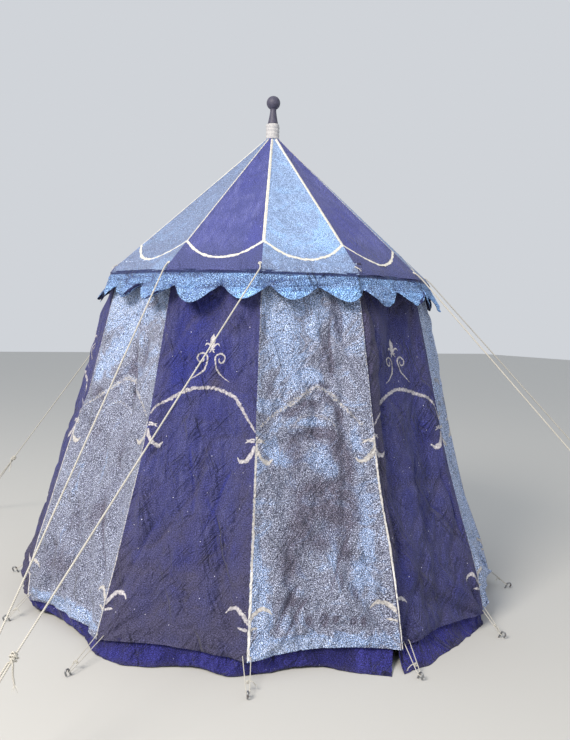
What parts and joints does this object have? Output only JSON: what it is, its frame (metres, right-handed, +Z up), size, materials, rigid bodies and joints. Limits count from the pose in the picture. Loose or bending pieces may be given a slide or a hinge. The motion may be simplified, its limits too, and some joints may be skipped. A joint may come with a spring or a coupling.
{
  "type": "pavilion tent",
  "caption": "Round pavilion tent with tapering painted cloth walls, a cone roof with a scalloped valance, a centre pole with a ball finial, guy ropes and pegged hem loops.",
  "frame": {"origin": "centre of the centre pole's foot, on the ground", "axes": "+Z up along the centre pole; -Y out through the door seam; +X to the right of someone facing the door"},
  "size_m": [4.601, 4.8204, 3.003],
  "materials": {
    "roof_dark": "painted canvas",
    "roof_light": "painted canvas with silver",
    "wall_dark": "painted canvas, faded",
    "wall_light": "painted canvas, stained",
    "valance_blue": "painted canvas",
    "skirt_blue": "painted canvas, worn",
    "rope_white": "twisted cotton rope",
    "pole_pine": "planed, unpainted",
    "stake_ash": "cleft, weathered",
    "peg_steel": "forged, weathered",
    "finial_slate": "turned and painted slate grey"
  },
  "bodies": {
    "root": {"centre_pole": "pole_pine", "spoke_wheel": "pole_pine", "finial": "finial_slate", "roof_collar": "rope_white", "roof_panel_01": "roof_dark", "roof_panel_02": "roof_light", "roof_panel_03": "roof_dark", "roof_panel_04": "roof_light", "roof_panel_05": "roof_dark", "roof_panel_06": "roof_light", "roof_panel_07": "roof_dark", "roof_panel_08": "roof_light", "roof_panel_09": "roof_dark", "roof_panel_10": "roof_light", "roof_panel_11": "roof_dark", "roof_panel_12": "roof_light", "wall_panel_01": "wall_dark", "wall_panel_02": "wall_light", "wall_panel_03": "wall_dark", "wall_panel_04": "wall_light", "wall_panel_05": "wall_dark", "wall_panel_06": "wall_light", "wall_panel_07": "wall_dark", "wall_panel_08": "wall_light", "wall_panel_09": "wall_dark", "wall_panel_10": "wall_light", "wall_panel_11": "wall_dark", "wall_panel_12": "wall_light", "valance": "valance_blue", "mud_skirt_front_right": "skirt_blue", "mud_skirt_back_right": "skirt_blue", "mud_skirt_back_left": "skirt_blue", "mud_skirt_front_left": "skirt_blue", "guy_rope_01": "rope_white", "guy_rope_02": "rope_white", "guy_rope_03": "rope_white", "guy_rope_04": "rope_white", "guy_rope_05": "rope_white", "guy_rope_06": "rope_white", "guy_rope_07": "rope_white", "guy_peg_01": "stake_ash", "guy_peg_02": "stake_ash", "guy_peg_03": "stake_ash", "guy_peg_04": "stake_ash", "guy_peg_05": "stake_ash", "guy_peg_06": "stake_ash", "foot_peg_01": "peg_steel", "foot_peg_02": "peg_steel", "foot_peg_03": "peg_steel", "foot_peg_04": "peg_steel", "foot_peg_05": "peg_steel", "foot_peg_06": "peg_steel", "foot_peg_07": "peg_steel", "foot_peg_08": "peg_steel", "foot_peg_09": "peg_steel", "foot_peg_10": "peg_steel", "foot_peg_11": "peg_steel", "foot_peg_12": "peg_steel"}
  },
  "joints": []
}
